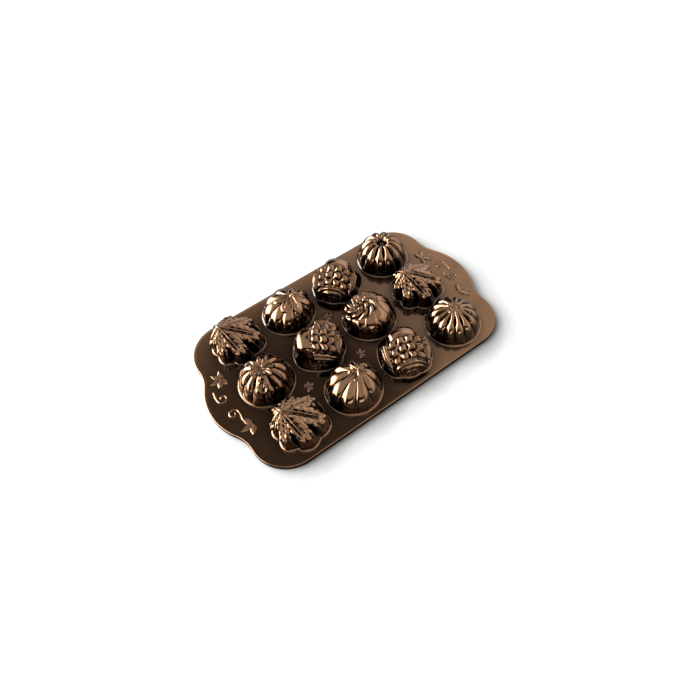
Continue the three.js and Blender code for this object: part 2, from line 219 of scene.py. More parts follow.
# Table. It shows white to the camera by its own glow, and its diffuse colour sends little light back.
PAPER_COLOUR = (0.05, 0.05, 0.05)
FLOOR_SIDE = 6                # metres
FLOOR_GLOW = 0.97
FLOOR_GLOSS = 0.12            # level of its unlit parts as the metal sees them
# Painted pools of light, glowing on the table only to the metal: the way they lie, how far off they begin
# and are full, and their level
PAINTED_FLOOR_LIGHTS = [
    ((-0.6, 0.8, 0), (0.2, 0.45), 2.5),
    ((1, 0, 0), (0.2, 0.35), 0.8),
]
# Painted shadow on the table: an ambient occlusion mask dims the table's glow round the pan, on the side
# away from the light.
SHADE_REACH = 40 * MM         # how far the pan darkens the table round it
SHADE_LEAN = (-0.6, 0.8, 0.03)   # the way in which open air is looked for, away from the shadow
SHADE_DEPTH = 1.3
SHADE_EDGE = (0.49, 0.95)     # share of open air at which the table is darkest, and clear

# World, as all but the camera sees it. Its light is stronger than a plain level: a matte grey near the
# pan's edge renders 1.5 to 2.7 times as bright as it is written.
ROOM_COLOUR = (1, 0.98, 0.94)
ROOM_LEVEL = 0.012
DOME_LEVEL = 1.5
DOME_EDGE = (0.4, 0.6)        # height of a direction at which the dome begins, and is full
GAP_DIRECTION = (0.13, 0.42, 0.898)   # unlit gap in the dome, mirrored by the deck's left half
GAP_EDGE = (0.945, 0.985)
GAP_DEPTH = 0.88
# Low lights: the way they lie, how near to it they begin and are full, the heights between which they
# come in and between which they fade out, and their level
LOW_LIGHTS = [
    ((-0.62, 0.78, 0), (0.82, 0.97), (-0.05, 0.06), (0.55, 0.4), 19.0),
    ((-0.87, 0.5, 0), (0.68, 0.88), (0.02, 0.15), (0.8, 0.58), 17.0),
    ((-0.45, -0.89, 0), (0.86, 0.96), (0.08, 0.13), (0.27, 0.22), 5.0),
    ((0.95, -0.2, 0), (0.1, 0.6), (-0.05, 0.12), (0.75, 0.5), 2.2),
]

# Camera of the photograph, fitted to the pan's edge in the 700 pixel frame
PHOTO_SIDE = 700
FOCAL_PIXELS = 564.2
CAMERA_AZIMUTH = math.radians(-30.60)
CAMERA_ELEVATION = math.radians(55.57)
CAMERA_ROLL = math.radians(-6.41)
CAMERA_DISTANCE = 764.4 * MM
ORIGIN_PIXEL = (344.95, 336.75)   # where the middle of the pan's footprint falls
SENSOR_WIDTH = 36


def add_camera():
    """The camera looks at a point beside the origin, so that the origin falls on its own pixel."""
    azimuth, elevation = CAMERA_AZIMUTH, CAMERA_ELEVATION
    back = Vector((math.sin(azimuth) * math.cos(elevation),
                   -math.cos(azimuth) * math.cos(elevation),
                   math.sin(elevation)))
    level = Vector((math.cos(azimuth), math.sin(azimuth), 0))
    upright = back.cross(level)
    right = level * math.cos(CAMERA_ROLL) + upright * math.sin(CAMERA_ROLL)
    up = upright * math.cos(CAMERA_ROLL) - level * math.sin(CAMERA_ROLL)
    metres_per_pixel = CAMERA_DISTANCE / FOCAL_PIXELS
    shift_right = (ORIGIN_PIXEL[0] - PHOTO_SIDE / 2) * metres_per_pixel
    shift_up = (PHOTO_SIDE / 2 - ORIGIN_PIXEL[1]) * metres_per_pixel
    place = back * CAMERA_DISTANCE - right * shift_right - up * shift_up
    camera = bpy.data.objects.new("camera", bpy.data.cameras.new("camera"))
    camera.data.sensor_width = SENSOR_WIDTH
    camera.data.lens = FOCAL_PIXELS / PHOTO_SIDE * SENSOR_WIDTH
    camera.matrix_world = Matrix.Translation(place) @ Matrix((right, up, back)).transposed().to_4x4()
    bpy.context.collection.objects.link(camera)
    bpy.context.scene.camera = camera


# Small mathematics shared by the shapes

def smooth_step(low, high, value):
    share = np.clip((value - low) / (high - low), 0, 1)
    return share * share * (3 - 2 * share)


def crest(turns, ribs, roundness):
    """1 on the crest of each rib, and 0 in the groove between two. A lower roundness is fuller."""
    return np.abs(np.sin(math.pi * turns * ribs)) ** roundness


def smooth_profile(shares, count):
    """Evenly spaced points on a smooth curve through a profile's rows of [out, height, relief]."""
    rows = np.array(shares, float)
    padded = np.vstack([2 * rows[0] - rows[1], rows, 2 * rows[-1] - rows[-2]])
    dense = []
    for before, start, end, after in zip(padded, padded[1:], padded[2:], padded[3:]):
        for share in np.linspace(0, 1, PROFILE_STEPS, endpoint=False):
            dense.append(0.5 * (2 * start + (end - before) * share
                                + (2 * before - 5 * start + 4 * end - after) * share ** 2
                                + (3 * start - before - 3 * end + after) * share ** 3))
    dense = np.array(dense + [rows[-1]])
    steps = np.hypot(np.diff(dense[:, 0]), np.diff(dense[:, 1]) * CUP_HEIGHT / CUP_RADIUS)
    length = np.concatenate([[0], np.cumsum(steps)])
    even = np.linspace(0, length[-1], count)
    return np.column_stack([np.interp(even, length, dense[:, column]) for column in range(3)])


def mesh_object(name, vertices, faces):
    mesh = bpy.data.meshes.new(name)
    mesh.from_pydata(vertices, [], faces)
    mesh.validate()
    mesh.shade_smooth()
    mesh.set_sharp_from_angle(angle=CREASE_ANGLE)
    piece = bpy.data.objects.new(name, mesh)
    bpy.context.collection.objects.link(piece)
    return piece


def ring_faces(ring_starts, count, closes):
    """Quads between rings of as many points as each other."""
    faces = []
    pairs = list(zip(ring_starts, ring_starts[1:]))
    if closes:
        pairs.append((ring_starts[-1], ring_starts[0]))
    for upper, lower in pairs:
        for step in range(count):
            after = (step + 1) % count
            faces.append((upper + step, lower + step, lower + after, upper + after))
    return faces


# Relief shapes. A place on the skin is a share of the way from a cup's pole to its foot; a place on the
# plan is a share of the cup's radius from its pole. Heights are metres.

def turned(x, y, angle):
    return (x * math.cos(angle) + y * math.sin(angle),
            y * math.cos(angle) - x * math.sin(angle))


def ridge(distance, width):
    """A rounded ridge: 1 on its line, fading to 0 a width away."""
    return np.clip(1 - (distance / width) ** 2, 0, 1) ** 1.5


def bump(x, y, place, radius):
    """A round knob."""
    return ridge(np.hypot(x - place[0], y - place[1]), radius)


def leaf_patch(x, y, place, facing, size):
    """A raised lobed leaf with veins, its stem end at a place. 1 is its full height."""
    local_x, local_y = turned(x - place[0], y - place[1], facing)
    reach = np.hypot(local_x, local_y)
    angle = np.arctan2(local_y, local_x)
    side = np.abs((angle / LAID_LEAF_SPREAD * LAID_LEAF_LOBES / 2 + 0.5) % 1 - 0.5) * 2
    inside_fan = smooth_step(LAID_LEAF_SPREAD, LAID_LEAF_SPREAD * 0.9, np.abs(angle))
    edge = size * (1 - 0.45 * side ** 1.5) * (0.6 + 0.4 * np.cos(angle / 2)) * inside_fan + 1e-6
    body = smooth_step(0, 0.14, 1 - reach / edge)
    vein = ridge(side * reach, 0.035) * body
    hollow = np.sin(math.pi * side) * smooth_step(0.05, 0.2, reach)
    return body * (0.85 - 0.3 * hollow) + 0.3 * vein


def curl(x, y, place, radius, width):
    """A ring of vine."""
    reach = np.hypot(x - place[0], y - place[1])
    return ridge(np.abs(reach - radius), width)


def from_strand(x, y, points):
    """How far places are from a line of points."""
    nearest = np.full(np.shape(x), np.inf)
    for start, end in zip(points, points[1:]):
        step = (end[0] - start[0], end[1] - start[1])
        length = step[0] ** 2 + step[1] ** 2
        share = np.clip(((x - start[0]) * step[0] + (y - start[1]) * step[1]) / length, 0, 1)
        gap = np.hypot(x - start[0] - share * step[0], y - start[1] - share * step[1])
        nearest = np.minimum(nearest, gap)
    return nearest


def strand(x, y, points, width):
    """A vine or stem along a line of points."""
    return ridge(from_strand(x, y, points), width)


def grooves(turns, reach, ribs, depth):
    """Sharp grooves between round ribs, shallower toward the pole, where the ribs are narrow."""
    return -depth * (1 - crest(turns, ribs, 0.62)) * smooth_step(0.02, 0.45, reach)


def drops(turns, reach, ribs, depth, middle, half_length):
    """The deeper end of each groove, shaped as a drop."""
    return -depth * (1 - crest(turns, ribs, 0.8)) * ridge(np.abs(reach - middle), half_length)


# Parts of the motifs, by how far round the cup a place lies, in turns. An edge is the foot's radius there
# as a share of the cup's, an angle is the way that the foot lies, a spread draws the skin in or out above
# the foot, and a relief is a height in metres.

def round_edge(turns):
    return np.ones_like(turns)


def even_angle(turns):
    return turns * TURN


def full_spread(turns, out):
    return 1


def pumpkin_relief(turns, reach, skin, plan):
    """Full ribs with deep grooves that end in drops round the dimple."""
    return (grooves(turns, reach, PUMPKIN_RIBS, GROOVE_DEPTH)
            + drops(turns, reach, PUMPKIN_RIBS, DROP_DEPTH, 0.4, 0.2))


def squash_relief(turns, reach, skin, plan):
    """Ribs whose grooves end in drops, and a small rosette round the stem."""
    rosette = bump(*plan, (0, 0), 0.1)
    rosette = rosette + 0.7 * crest(turns, ROSETTE_PETALS, 0.7) * ridge(np.abs(reach - 0.13), 0.07)
    return (grooves(turns, reach, SQUASH_RIBS, GROOVE_DEPTH)
            + drops(turns, reach, SQUASH_RIBS, DROP_DEPTH, 0.36, 0.16)
            + ROSETTE_HEIGHT * rosette)


def vined_pumpkin_relief(turns, reach, skin, plan):
    """Ribs all round, with a lobed leaf, a stem, and a ring of vine round a low mound over the top."""
    leaf = leaf_patch(*plan, *PUMPKIN_LEAF)
    ring = np.maximum(curl(*plan, VINE_RING_PLACE, VINE_RING_RADIUS, VINE_RING_WIDTH),
                      0.6 * bump(*plan, VINE_RING_PLACE, VINE_MOUND_RADIUS))
    stem = strand(*plan, PUMPKIN_STEM, PUMPKIN_STEM_WIDTH)
    cover = np.maximum(np.maximum(leaf, ring), stem)
    ribs = (grooves(turns, reach, PUMPKIN_RIBS, GROOVE_DEPTH)
            + drops(turns, reach, PUMPKIN_RIBS, SHALLOW_DROP_DEPTH, 0.42, 0.2))
    return ribs * (1 - np.clip(cover, 0, 1)) + PUMPKIN_LAID_HEIGHT * cover


def gourd_relief(turns, reach, skin, plan):
    """Broad ribs from a bent stem, with two vines and a small leaf."""
    stem = strand(*plan, GOURD_STEM, STEM_WIDTH)
    vines = np.maximum(*(strand(*plan, line, GOURD_VINE_WIDTH) for line in GOURD_VINES))
    cover = np.maximum(stem, leaf_patch(*plan, *GOURD_LEAF))
    ribs = grooves(turns, reach, GOURD_RIBS, BROAD_GROOVE_DEPTH) * (1 - 0.7 * np.clip(cover, 0, 1))
    return ribs + LAID_HEIGHT * cover + GOURD_VINE_HEIGHT * vines


def leafy_gourd_relief(turns, reach, skin, plan):
    """Broad ribs with a large leaf laid over the top."""
    leaf = leaf_patch(*plan, *LEAFY_GOURD_LEAF)
    stem = strand(*plan, LEAFY_GOURD_STEM, STEM_WIDTH)
    ribs = grooves(turns, reach, GOURD_RIBS, BROAD_GROOVE_DEPTH) * (1 - 0.8 * np.clip(leaf, 0, 1))
    return ribs + LAID_HEIGHT * leaf + LAID_HEIGHT * stem


def petals(local, angle, inner, outer, count, offset):
    """A ring of round petals between two radii, a little turned as they go outward."""
    turns = angle / TURN + offset / count + 0.3 * local
    along = ridge(local - (inner + outer) / 2, (outer - inner) * 0.56)
    return along ** 0.7 * crest(turns, count, 0.8)


def clustered_gourd_relief(turns, reach, skin, plan):
    """A round gourd, nearly smooth on one side, with petals heaped on the other."""
    x, y = plan[0] - HEAP_MIDDLE[0], plan[1] - HEAP_MIDDLE[1]
    local = np.hypot(x, y)
    angle = np.arctan2(y, x)
    heap = smooth_step(HEAP_RADIUS, HEAP_RADIUS * 0.92, local)
    layers = ridge(local, HEAP_BUD_RADIUS)
    for ring in HEAP_RINGS:
        layers = np.maximum(layers, petals(local, angle, *ring))
    ribs = grooves(turns, reach, GOURD_RIBS, FAINT_GROOVE_DEPTH) * (1 - heap)
    return heap * (PETAL_HEIGHT * layers - HEAP_SUNK) + ribs


def acorn_edge(turns):
    fringe = np.maximum(0, -np.cos(turns * TURN))
    side = np.cos(2 * turns * TURN) ** 2
    return 1 - 0.06 * side - 0.05 * fringe * (1 - crest(turns, FRINGE_LEAVES, 1))


def acorn_relief(turns, reach, skin, plan):
    """A smooth nut, a cap of chunky scales in a thick double brim, and rows of small leaves round it."""
    x, y = skin
    place = x + CAP_BEND * y ** 2
    nut = smooth_step(CAP_FRONT, CAP_FRONT + 0.03, place)
    edge = np.maximum((CAP_FRONT - place) / CAP_LENGTH, np.abs(y) / CAP_HALF_WIDTH)
    cap = smooth_step(1, 0.95, edge) * (1 - nut)
    outside = smooth_step(1.2, 1.25, edge) * (1 - nut)
    scales = crest(place - CAP_FRONT, 1 / SCALE_PITCH, 0.75) * crest(y, 1 / SCALE_PITCH, 0.75)
    brim = np.maximum(ridge(np.abs(edge - 1.02), 0.1), 0.7 * ridge(np.abs(edge - 1.2), 0.09)) * (1 - nut)
    leaves = crest(turns, 2 * FRINGE_LEAVES, 0.7) * crest(edge, 5, 0.6)
    tip = bump(x, y, NUT_TIP_PLACE, 0.08)
    belly = ridge(np.hypot((x - 0.5) / 0.42, y / 0.56), 1) * nut
    shoulder = smooth_step(0.25, 0.6, np.abs(y)) * nut
    return ((SCALE_HEIGHT * scales - CAP_SUNK) * cap + BRIM_HEIGHT * brim - NUT_SUNK * nut
            + NUT_BELLY_HEIGHT * belly - NUT_SHOULDER_SUNK * shoulder + NUT_TIP_HEIGHT * tip
            + (-FRINGE_SUNK + FRINGE_HEIGHT * leaves) * outside)


def leaf_tip(turns):
    """1 along the vein of each lobe, and 0 in the notch between two."""
    return np.abs(np.cos(math.pi * turns * LEAF_LOBES))


def leaf_angle(turns):
    return np.interp(turns * LEAF_LOBES, range(LEAF_LOBES + 1), LOBE_TURNS + [1]) * TURN


def leaf_edge(turns):
    reach = np.interp(turns * LEAF_LOBES, range(LEAF_LOBES + 1), LOBE_REACHES + LOBE_REACHES[:1])
    return reach * (1 - LEAF_NOTCH * (1 - leaf_tip(turns)))


def leaf_side(turns):
    """0 along the vein of each lobe, and 1 in the notch between two."""
    return np.abs((turns * LEAF_LOBES + 0.5) % 1 - 0.5) * 2


def leaf_spread(turns, out):
    """The leaf's own edge is cut deeper than its foot, and has teeth."""
    above_wall = smooth_step(1, 0.93, out)
    teeth = (1 - crest(turns, 4 * LEAF_LOBES, 0.8)) * smooth_step(0.6, 0.9, out)
    return 1 - above_wall * (LEAF_CUT * out * leaf_side(turns) ** 4 + LEAF_TEETH * teeth)


def leaf_relief(turns, reach, skin, plan):
    """A filled blade with a vein along each lobe, feathered by side veins, and knobs at the tips."""
    side = leaf_side(turns)
    from_vein = 0.1 * LEAF_LOBES * side * np.hypot(*plan)
    blade = smooth_step(0.78, 0.7, reach)
    inside = smooth_step(0.66, 0.54, reach)
    away = smooth_step(0.08, 0.2, reach)
    vein = ridge(from_vein, 0.075)
    hollow = ridge(np.abs(from_vein - 0.13), 0.1)
    feather = crest(reach - 0.2 * side, 7, 0.8) * smooth_step(0.1, 0.3, side)
    puff = ridge(side - 1, 0.75) * smooth_step(0.62, 0.5, reach)
    knob = ridge(np.abs(reach - 0.67), 0.11) * ridge(side, 0.55)
    notch = side ** 5 * smooth_step(0.5, 0.7, reach)
    return (inside * (LEAF_VEIN_HEIGHT * vein - LEAF_HOLLOW_DEPTH * hollow * away)
            + blade * away * LEAF_FEATHER_HEIGHT * feather + LEAF_PUFF_HEIGHT * puff * away
            + LEAF_KNOB_HEIGHT * knob - LEAF_NOTCH_DEPTH * notch)


def cup_surface(motif, radius, height, rings, relief_share):
    """Points of a cup's skin from the wall's foot to the top, and the top's own point."""
    rows = smooth_profile(motif["profile"], rings + 1)[:-1]
    out, lift, strength = (rows[:, column][:, None] for column in range(3))
    turns, reach = np.meshgrid(np.arange(AROUND) / AROUND, 1 - np.arange(rings) / rings)
    angle = motif["angle"](turns)
    edge = motif["edge"](turns)
    pole = motif["pole"]
    spread = out * motif["spread"](turns, out)
    x = pole + (edge * np.cos(angle) - pole) * spread
    y = edge * np.sin(angle) * spread
    points = np.stack([x * radius, y * radius, np.broadcast_to(lift * height, x.shape)], axis=2)
    skin = (reach * np.cos(angle), reach * np.sin(angle))
    relief = motif["relief"](turns, reach, skin, (x - pole, y))
    outward = points - np.array([0, 0, RELIEF_CENTRE * height])
    outward /= np.linalg.norm(outward, axis=2, keepdims=True)
    points = points + outward * (relief * strength * relief_share)[:, :, None]
    points[:, :, 2] *= min(1, height / points[:, :, 2].max())
    top = points[-1].mean(axis=0)
    return points, top


def make_motif(profile, relief, pole=0, edge=round_edge, angle=even_angle, spread=full_spread):
    return dict(profile=profile, relief=relief, pole=pole, edge=edge, angle=angle, spread=spread)


MOTIFS = {
    "pumpkin": make_motif(DIMPLED_PROFILE, pumpkin_relief),
    "vined_pumpkin": make_motif(COVERED_PROFILE, vined_pumpkin_relief),
    "squash": make_motif(ROUND_PROFILE, squash_relief),
    "gourd": make_motif(ROUND_PROFILE, gourd_relief, pole=GOURD_POLE),
    "leafy_gourd": make_motif(ROUND_PROFILE, leafy_gourd_relief, pole=GOURD_POLE),
    "clustered_gourd": make_motif(ROUND_PROFILE, clustered_gourd_relief),
    "acorn": make_motif(ACORN_PROFILE, acorn_relief, edge=acorn_edge),
    "leaf": make_motif(LEAF_PROFILE, leaf_relief, pole=LEAF_STEM, edge=leaf_edge, angle=leaf_angle,
                       spread=leaf_spread),
}

# The CAD node that each cup stands for, its column and row counted from the pan's middle, its motif,
# and the way it faces in turns
CUPS = [
    ("leaf_cup_back_1", -1.5, 1, "leaf", -0.11),
    ("gourd_cup_back_2", -0.5, 1, "leafy_gourd", -0.05),
    ("acorn_cup_back_3", 0.5, 1, "acorn", 0.12),
    ("pumpkin_cup_back_4", 1.5, 1, "pumpkin", 0),
    ("pumpkin_cup_middle_1", -1.5, 0, "vined_pumpkin", 0),
    ("acorn_cup_middle_2", -0.5, 0, "acorn", 0.4),
    ("gourd_cup_middle_3", 0.5, 0, "clustered_gourd", 0.4),
    ("leaf_cup_middle_4", 1.5, 0, "leaf", -0.11),
    ("leaf_cup_front_1", -1.5, -1, "leaf", -0.11),
    ("gourd_cup_front_2", -0.5, -1, "gourd", 0),
    ("acorn_cup_front_3", 0.5, -1, "acorn", 0.19),
    ("squash_cup_front_4", 1.5, -1, "squash", 0),
]


def edge_ring(motif, radius, height):
    """A ring round a cup's foot or mouth, following the motif's edge."""
    turns = np.arange(AROUND) / AROUND
    edge = motif["edge"](turns)
    angle = motif["angle"](turns)
    return np.column_stack([radius * edge * np.cos(angle), radius * edge * np.sin(angle),
                            np.full(AROUND, height)])


def arc_rings(motif, radius, height, round_radius, from_turn, to_turn, steps):
    """Rings along a quarter round in a cup's section, about a ring of the radius and height."""
    rings = []
    for angle in np.linspace(from_turn * TURN, to_turn * TURN, steps):
        rings.append(edge_ring(motif, radius + round_radius * math.cos(angle),
                               height + round_radius * math.sin(angle)))
    return rings


def on_pan(x, y, column, row, facing):
    """Where a place in a cup's own plan lies on the pan."""
    turn = facing * TURN
    return (x * math.cos(turn) - y * math.sin(turn) + column * COLUMN_PITCH,
            x * math.sin(turn) + y * math.cos(turn) + row * ROW_PITCH)


def make_cup(name, column, row, motif, facing):
    """A cup as one closed skin: outside, foot, collar through the deck, rounded mouth and cavity."""
    form = MOTIFS[motif]
    outside, outside_top = cup_surface(form, CUP_RADIUS, CUP_HEIGHT, OUTER_RINGS, 1)
    cavity, cavity_top = cup_surface(form, CUP_RADIUS - CUP_WALL, CUP_HEIGHT - CUP_WALL, INNER_RINGS,
                                     CAVITY_RELIEF)
    foot = arc_rings(form, CUP_RADIUS + FOOT_FILLET, FOOT_FILLET, FOOT_FILLET, 0.5, 0.75, FOOT_STEPS)
    collar = [edge_ring(form, COLLAR_RADIUS, height) for height in (0, -DECK_THICKNESS)]
    mouth = arc_rings(form, CUP_RADIUS - CUP_WALL + MOUTH_ROUND, MOUTH_ROUND - DECK_THICKNESS, MOUTH_ROUND,
                      0.75, 0.5, MOUTH_STEPS)
    rings = list(outside[::-1]) + foot + collar + mouth + list(cavity)
    vertices = np.vstack([outside_top[None], *rings, cavity_top[None]])
    starts = [1 + AROUND * ring for ring in range(len(rings))]
    faces = ring_faces(starts, AROUND, closes=False)
    last = len(vertices) - 1
    for step in range(AROUND):
        after = (step + 1) % AROUND
        faces.append((0, starts[0] + step, starts[0] + after))
        faces.append((last, starts[-1] + after, starts[-1] + step))
    x, y = on_pan(vertices[:, 0], vertices[:, 1], column, row, facing)
    placed = np.column_stack([x, y, vertices[:, 2] + DECK_TOP])
    return mesh_object("fine_" + name, placed.tolist(), faces)


# Outline of the pan

def lobe_centres():
    """Middles of a corner lobe and of the handle lobe beside it."""
    return (Vector((CORNER_LOBE_X, HALF_WIDTH - CORNER_LOBE_RADIUS)),
            Vector((HALF_LENGTH - HANDLE_LOBE_RADIUS, 0)))


def neck_centre(corner, handle):
    """Middle of the circle that touches a corner lobe and the handle lobe from outside."""
    from_corner = CORNER_LOBE_RADIUS + NECK_RADIUS
    from_handle = HANDLE_LOBE_RADIUS + NECK_RADIUS
    between = handle - corner
    distance = between.length
    along = (from_corner ** 2 - from_handle ** 2 + distance ** 2) / (2 * distance)
    aside = math.sqrt(from_corner ** 2 - along ** 2)
    direction = between / distance
    return corner + direction * along + Vector((-direction.y, direction.x)) * aside


def arc(centre, radius, start, end, steps):
    angles = np.linspace(start, end, steps, endpoint=False)
    return [(centre[0] + radius * math.cos(angle), centre[1] + radius * math.sin(angle))
            for angle in angles]


def pan_outline(inset):
    """The lobed outline drawn in by an inset, anticlockwise. Every inset gives as many points."""
    corner, handle = lobe_centres()
    neck = neck_centre(corner, handle)
    to_handle = math.atan2(*(neck - handle).yx)
    to_corner = math.atan2(*(corner - neck).yx)
    corner_start = math.atan2(*(neck - corner).yx)
    quarter = arc(handle, HANDLE_LOBE_RADIUS - inset, 0, to_handle, HANDLE_STEPS)
    quarter += arc(neck, NECK_RADIUS + inset, to_handle + TURN / 2, to_corner, NECK_STEPS)
    quarter += arc(corner, CORNER_LOBE_RADIUS - inset, corner_start, TURN / 4, CORNER_STEPS)
    straight = np.linspace(CORNER_LOBE_X, 0, SIDE_STEPS, endpoint=False)
    quarter += [(x, HALF_WIDTH - inset) for x in straight] + [(0, HALF_WIDTH - inset)]
    left = [(-x, y) for x, y in reversed(quarter[:-1])]
    half = quarter + left
    return half + [(x, -y) for x, y in reversed(half[1:-1])]


def make_rim():
    """Rounded edge, side, ring that it rests on, and inner side, as one band."""
    side_top = DECK_TOP - RIM_ROUND
    section = [(RIM_ROUND, DECK_TOP)]
    for angle in np.linspace(0, TURN / 4, RIM_STEPS):
        section.append((RIM_TURN * (1 - math.sin(angle)), DECK_TOP - RIM_TURN * (1 - math.cos(angle))))
    section += [(0, RIM_EDGE), (RIM_EDGE, 0), (RIM_WALL - RIM_EDGE, 0), (RIM_WALL, RIM_EDGE),
                (RIM_WALL, side_top), (RIM_ROUND, DECK_TOP - DECK_THICKNESS)]
    rings = [np.array([(x, y, height) for x, y in pan_outline(inset)]) for inset, height in section]
    count = len(rings[0])
    vertices = np.vstack(rings)
    starts = [count * ring for ring in range(len(rings))]
    return mesh_object("fine_rim", vertices.tolist(), ring_faces(starts, count, closes=True))


def mouth_outline(column, row, motif, facing):
    """The hole in the deck that a cup's collar fills."""
    ring = edge_ring(MOTIFS[motif], COLLAR_RADIUS + COLLAR_GAP, 0)[::HOLE_STRIDE]
    return [on_pan(x, y, column, row, facing) for x, y, _ in ring]


def encloses(loop, point):
    """Whether a point lies inside a closed loop of points."""
    starts = np.array(loop) - np.array(point)
    ends = np.roll(starts, -1, axis=0)
    crosses = (starts[:, 1] > 0) != (ends[:, 1] > 0)
    rise = np.where(crosses, ends[:, 1] - starts[:, 1], 1)
    meets = starts[:, 0] - starts[:, 1] * (ends[:, 0] - starts[:, 0]) / rise
    return np.count_nonzero(crosses & (meets > 0)) % 2 == 1


def closed_faces(top_faces, below):
    """Faces of a top, of an underside whose points are numbered so much higher, and of walls between."""
    underside = [tuple(below + point for point in reversed(face)) for face in top_faces]
    edges = {edge: True for face in top_faces for edge in zip(face, face[1:] + face[:1])}
    walls = [(second, first, below + first, below + second)
             for first, second in edges if (second, first) not in edges]
    return top_faces + underside + walls


def make_deck():
    """The plate inside the rim, with a hole for each cup's collar."""
    loops = [pan_outline(RIM_ROUND)]
    for _, column, row, motif, facing in CUPS:
        loops.append(mouth_outline(column, row, motif, facing)[::-1])
    points = [Vector(point) for loop in loops for point in loop]
    edges = []
    start = 0
    for loop in loops:
        edges += [(start + step, start + (step + 1) % len(loop)) for step in range(len(loop))]
        start += len(loop)
    found, _, triangles, _, _, _ = delaunay_2d_cdt(points, edges, [], KEEP_INSIDE, MERGE_DISTANCE)
    kept = []
    for triangle in triangles:
        middle = sum((found[corner] for corner in triangle), Vector((0, 0))) / len(triangle)
        if not any(encloses(hole, middle) for hole in loops[1:]):
            kept.append(tuple(triangle))
    top = [(point.x, point.y, DECK_TOP) for point in found]
    bottom = [(point.x, point.y, DECK_TOP - DECK_THICKNESS) for point in found]
    return mesh_object("fine_deck", top + bottom, closed_faces(kept, len(found)))


# Reliefs cast on the deck. Places are metres from the relief's own middle, and heights are shares of
# RELIEF_HEIGHT.

def leaflet(x, y, base, direction, length, width):
    """A pointed leaf with a midrib, from its base outward."""
    along, aside = turned(x - base[0], y - base[1], direction)
    share = np.clip(along / length, 0.001, 1)
    half = width / 2 * np.sin(math.pi * share ** 0.75) ** 0.8 + 1e-9
    inside = (along > 0) & (along < length) & (np.abs(aside) < half)
    dome = np.sqrt(np.clip(1 - (aside / half) ** 2, 0, 1))
    midrib = ridge(aside, width * 0.12)
    return np.where(inside, dome * 0.75 + 0.25 * midrib, 0)


def spray(x, y, size, directions):
    """Pointed leaves that spread from one stem, longest in the middle of the fan."""
    height = 0 * x
    middle = len(directions) / 2 - 0.5
    for order, direction in enumerate(directions):
        length = size * (SPRAY_REACH - SPRAY_SHORTENING * abs(order - middle))
        leaf = leaflet(x, y, (-SPRAY_STEM * size, 0), direction, length, SPRAY_LEAF_WIDTH * size)
        height = np.maximum(height, leaf)
    return height


def scroll(x, y, radius, width):
    """A vine that runs into a curl."""
    reach = np.hypot(x, y)
    angle = (np.arctan2(y, x) % TURN) / TURN
    spiral = ridge(np.abs(reach - radius * (1 - VINE_TIGHTENING * angle)), width / 2)
    stem = strand(x, y, [(radius, 0), (radius, -radius), (0.8 * radius, -2 * radius)], width / 2)
    return np.maximum(spiral, stem)


def make_relief(name, height_at, half_size, place, facing):
    """A relief as a fine grid of heights over its own footprint, flat underneath."""
    count = int(2 * half_size / RELIEF_CELL)
    line = np.linspace(-half_size, half_size, count)
    x, y = np.meshgrid(line, line, indexing="ij")
    height = height_at(x, y)
    highest = np.maximum.reduce([height[:-1, :-1], height[1:, :-1], height[:-1, 1:], height[1:, 1:]])
    rows, columns = np.nonzero(highest > RELIEF_EDGE)
    turned_x, turned_y = turned(x, y, -facing * TURN)
    top = np.column_stack([(turned_x + place[0]).ravel(), (turned_y + place[1]).ravel(),
                           (DECK_TOP + RELIEF_HEIGHT * height).ravel()])
    base = top.copy()
    base[:, 2] = DECK_TOP - SEATING
    top_faces = [(corner, corner + count, corner + count + 1, corner + 1)
                 for corner in (rows * count + columns).tolist()]
    faces = closed_faces(top_faces, count * count)
    return mesh_object("fine_" + name, *compact(np.vstack([top, base]), faces))


def compact(vertices, faces):
    """Leaves out the vertices that no face uses."""
    used = sorted({point for face in faces for point in face})
    number = {point: order for order, point in enumerate(used)}
    return vertices[used].tolist(), [tuple(number[point] for point in face) for face in faces]


def make_reliefs():
    """Sprays and vines on the handles, and small sprays between the cups."""
    pieces = []

    def add(name, height_at, half_size, place, facing):
        pieces.append((name, make_relief(name, height_at, half_size, place, facing)))

    for name, side in (("left", -1), ("right", 1)):
        facing = 0.5 if side < 0 else 0
        for end, aside, directions in (("back", 1, SPRAY_OF_FIVE), ("front", -1, SPRAY_OF_THREE)):
            add(f"leaf_spray_{name}_{end}",
                lambda x, y, fan=directions: spray(x, y, SPRAY_SIZE, fan),
                SPRAY_REACH * SPRAY_SIZE, (side * SPRAY_X, aside * SPRAY_Y), facing)
            add(f"vine_{name}_{end}",
                lambda x, y: scroll(x, y, VINE_RADIUS, VINE_WIDTH),
                VINE_REACH * VINE_RADIUS, (side * VINE_X, aside * 2 * VINE_RADIUS),
                facing if aside > 0 else facing + 0.5)
    for end, column, row in (("left", -1, -0.5), ("front", 0, -0.5), ("back", 0, 0.5)):
        add(f"leaf_relief_{end}",
            lambda x, y: spray(x, y, SMALL_SPRAY_SIZE, SPRAY_OF_FIVE),
            SPRAY_REACH * SMALL_SPRAY_SIZE, (column * COLUMN_PITCH, row * ROW_PITCH), 0)
    return pieces


# Material

def add_node(tree, kind, place, inputs=None, **settings):
    node = tree.nodes.new(kind)
    node.location = place
    for name, value in settings.items():
        setattr(node, name, value)
    for name, value in (inputs or {}).items():
        if isinstance(value, bpy.types.NodeSocket):
            tree.links.new(value, node.inputs[name])
        else:
            node.inputs[name].default_value = value
    return node


def smooth_mask(tree, value, edge, place):
    """A smooth rise from 0 to 1 as a value goes from the start of its edge to the end."""
    node = add_node(tree, "ShaderNodeMapRange", place,
                    {"Value": value, "From Min": edge[0], "From Max": edge[1]},
                    interpolation_type="SMOOTHSTEP")
    return node.outputs["Result"]


